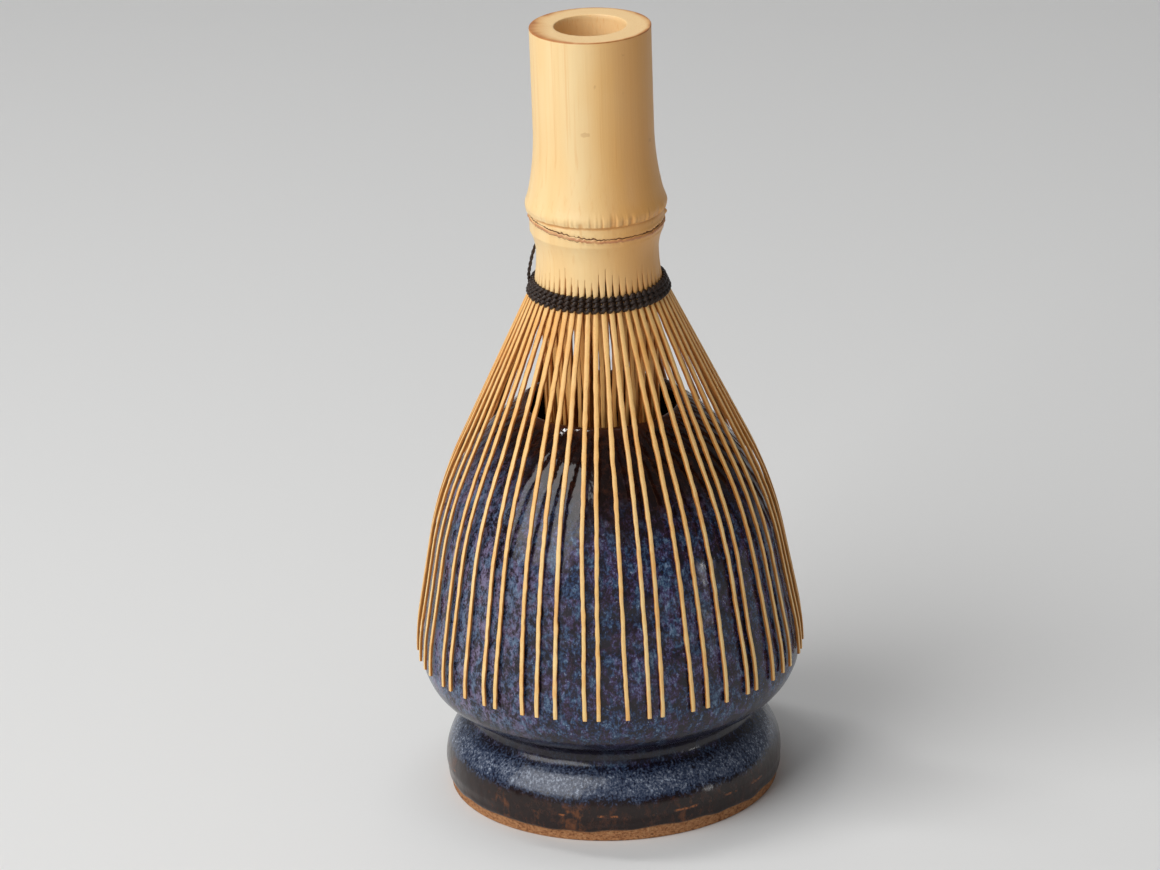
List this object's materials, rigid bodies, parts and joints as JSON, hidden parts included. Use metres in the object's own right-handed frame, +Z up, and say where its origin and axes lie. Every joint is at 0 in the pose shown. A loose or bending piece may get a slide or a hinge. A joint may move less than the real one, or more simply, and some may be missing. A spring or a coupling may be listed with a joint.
{
  "type": "bamboo tea whisk on a whisk holder",
  "caption": "Bamboo tea whisk with a hollow handle, a thread binding and split curved tines, standing over a hollow glazed stoneware whisk holder with a flared foot.",
  "frame": {"origin": "middle of the ring that the holder stands on, at the table", "axes": "+Z up along the whisk and the holder, +Y away from the viewer, +X to the viewer's right"},
  "size_m": [0.0702, 0.0702, 0.1425],
  "materials": {
    "glazed_stoneware": "thick mottled blue glaze breaking to dark brown at the lip and the foot",
    "bamboo": "bare dried bamboo, satin",
    "split_bamboo": "thin split bamboo, satin",
    "dark_thread": "twisted black-brown cotton thread"
  },
  "bodies": {
    "holder": {"holder": "glazed_stoneware"},
    "whisk": {"handle": "bamboo", "binding_thread": "dark_thread", "weave_thread": "dark_thread"},
    "outer_split_01": {"outer_tines_01": "split_bamboo"},
    "outer_split_02": {"outer_tines_02": "split_bamboo"},
    "outer_split_03": {"outer_tines_03": "split_bamboo"},
    "outer_split_04": {"outer_tines_04": "split_bamboo"},
    "outer_split_05": {"outer_tines_05": "split_bamboo"},
    "outer_split_06": {"outer_tines_06": "split_bamboo"},
    "outer_split_07": {"outer_tines_07": "split_bamboo"},
    "outer_split_08": {"outer_tines_08": "split_bamboo"},
    "outer_split_09": {"outer_tines_09": "split_bamboo"},
    "outer_split_10": {"outer_tines_10": "split_bamboo"},
    "outer_split_11": {"outer_tines_11": "split_bamboo"},
    "outer_split_12": {"outer_tines_12": "split_bamboo"},
    "outer_split_13": {"outer_tines_13": "split_bamboo"},
    "outer_split_14": {"outer_tines_14": "split_bamboo"},
    "inner_bundle_01": {"inner_tines_01": "split_bamboo"},
    "inner_bundle_02": {"inner_tines_02": "split_bamboo"},
    "inner_bundle_03": {"inner_tines_03": "split_bamboo"},
    "inner_bundle_04": {"inner_tines_04": "split_bamboo"},
    "inner_bundle_05": {"inner_tines_05": "split_bamboo"},
    "inner_bundle_06": {"inner_tines_06": "split_bamboo"},
    "inner_bundle_07": {"inner_tines_07": "split_bamboo"}
  },
  "joints": [
    {"name": "whisk_lift", "type": "slide", "parent": "holder", "child": "whisk", "axis": [0, 0, 1], "range_m": [0, 0.06]},
    {"name": "outer_flex_01", "type": "hinge", "parent": "whisk", "child": "outer_split_01", "pos_m": [0.0115, 0.00263, 0.095], "axis": [0.2225, -0.9749, 0], "range_deg": [0, 5], "stiffness_Nm_per_rad": 0.013, "springref_deg": -1.15},
    {"name": "outer_flex_02", "type": "hinge", "parent": "whisk", "child": "outer_split_02", "pos_m": [0.00923, 0.00736, 0.095], "axis": [0.6235, -0.7818, 0], "range_deg": [0, 5], "stiffness_Nm_per_rad": 0.013, "springref_deg": -1.15},
    {"name": "outer_flex_03", "type": "hinge", "parent": "whisk", "child": "outer_split_03", "pos_m": [0.00512, 0.01063, 0.095], "axis": [0.901, -0.4339, 0], "range_deg": [0, 5], "stiffness_Nm_per_rad": 0.013, "springref_deg": -1.15},
    {"name": "outer_flex_04", "type": "hinge", "parent": "whisk", "child": "outer_split_04", "pos_m": [0, 0.0118, 0.095], "axis": [1, 0, 0], "range_deg": [0, 5], "stiffness_Nm_per_rad": 0.013, "springref_deg": -1.15},
    {"name": "outer_flex_05", "type": "hinge", "parent": "whisk", "child": "outer_split_05", "pos_m": [-0.00512, 0.01063, 0.095], "axis": [0.901, 0.4339, 0], "range_deg": [0, 5], "stiffness_Nm_per_rad": 0.013, "springref_deg": -1.15},
    {"name": "outer_flex_06", "type": "hinge", "parent": "whisk", "child": "outer_split_06", "pos_m": [-0.00923, 0.00736, 0.095], "axis": [0.6235, 0.7818, 0], "range_deg": [0, 5], "stiffness_Nm_per_rad": 0.013, "springref_deg": -1.15},
    {"name": "outer_flex_07", "type": "hinge", "parent": "whisk", "child": "outer_split_07", "pos_m": [-0.0115, 0.00263, 0.095], "axis": [0.2225, 0.9749, 0], "range_deg": [0, 5], "stiffness_Nm_per_rad": 0.013, "springref_deg": -1.15},
    {"name": "outer_flex_08", "type": "hinge", "parent": "whisk", "child": "outer_split_08", "pos_m": [-0.0115, -0.00263, 0.095], "axis": [-0.2225, 0.9749, 0], "range_deg": [0, 5], "stiffness_Nm_per_rad": 0.013, "springref_deg": -1.15},
    {"name": "outer_flex_09", "type": "hinge", "parent": "whisk", "child": "outer_split_09", "pos_m": [-0.00923, -0.00736, 0.095], "axis": [-0.6235, 0.7818, 0], "range_deg": [0, 5], "stiffness_Nm_per_rad": 0.013, "springref_deg": -1.15},
    {"name": "outer_flex_10", "type": "hinge", "parent": "whisk", "child": "outer_split_10", "pos_m": [-0.00512, -0.01063, 0.095], "axis": [-0.901, 0.4339, 0], "range_deg": [0, 5], "stiffness_Nm_per_rad": 0.013, "springref_deg": -1.15},
    {"name": "outer_flex_11", "type": "hinge", "parent": "whisk", "child": "outer_split_11", "pos_m": [0, -0.0118, 0.095], "axis": [-1, 0, 0], "range_deg": [0, 5], "stiffness_Nm_per_rad": 0.013, "springref_deg": -1.15},
    {"name": "outer_flex_12", "type": "hinge", "parent": "whisk", "child": "outer_split_12", "pos_m": [0.00512, -0.01063, 0.095], "axis": [-0.901, -0.4339, 0], "range_deg": [0, 5], "stiffness_Nm_per_rad": 0.013, "springref_deg": -1.15},
    {"name": "outer_flex_13", "type": "hinge", "parent": "whisk", "child": "outer_split_13", "pos_m": [0.00923, -0.00736, 0.095], "axis": [-0.6235, -0.7818, 0], "range_deg": [0, 5], "stiffness_Nm_per_rad": 0.013, "springref_deg": -1.15},
    {"name": "outer_flex_14", "type": "hinge", "parent": "whisk", "child": "outer_split_14", "pos_m": [0.0115, -0.00263, 0.095], "axis": [-0.2225, -0.9749, 0], "range_deg": [0, 5], "stiffness_Nm_per_rad": 0.013, "springref_deg": -1.15},
    {"name": "inner_flex_01", "type": "hinge", "parent": "whisk", "child": "inner_bundle_01", "pos_m": [0.00875, 0.00484, 0.095], "axis": [0.4837, -0.8752, 0], "range_deg": [0, 4], "stiffness_Nm_per_rad": 0.016, "springref_deg": -1.15},
    {"name": "inner_flex_02", "type": "hinge", "parent": "whisk", "child": "inner_bundle_02", "pos_m": [0.00168, 0.00986, 0.095], "axis": [0.9859, -0.1675, 0], "range_deg": [0, 4], "stiffness_Nm_per_rad": 0.016, "springref_deg": -1.15},
    {"name": "inner_flex_03", "type": "hinge", "parent": "whisk", "child": "inner_bundle_03", "pos_m": [-0.00666, 0.00746, 0.095], "axis": [0.7456, 0.6663, 0], "range_deg": [0, 4], "stiffness_Nm_per_rad": 0.016, "springref_deg": -1.15},
    {"name": "inner_flex_04", "type": "hinge", "parent": "whisk", "child": "inner_bundle_04", "pos_m": [-0.00998, -0.00056, 0.095], "axis": [-0.0561, 0.9984, 0], "range_deg": [0, 4], "stiffness_Nm_per_rad": 0.016, "springref_deg": -1.15},
    {"name": "inner_flex_05", "type": "hinge", "parent": "whisk", "child": "inner_bundle_05", "pos_m": [-0.00579, -0.00816, 0.095], "axis": [-0.8156, 0.5787, 0], "range_deg": [0, 4], "stiffness_Nm_per_rad": 0.016, "springref_deg": -1.15},
    {"name": "inner_flex_06", "type": "hinge", "parent": "whisk", "child": "inner_bundle_06", "pos_m": [0.00277, -0.00961, 0.095], "axis": [-0.9609, -0.2768, 0], "range_deg": [0, 4], "stiffness_Nm_per_rad": 0.016, "springref_deg": -1.15},
    {"name": "inner_flex_07", "type": "hinge", "parent": "whisk", "child": "inner_bundle_07", "pos_m": [0.00924, -0.00383, 0.095], "axis": [-0.3827, -0.9239, 0], "range_deg": [0, 4], "stiffness_Nm_per_rad": 0.016, "springref_deg": -1.15}
  ]
}
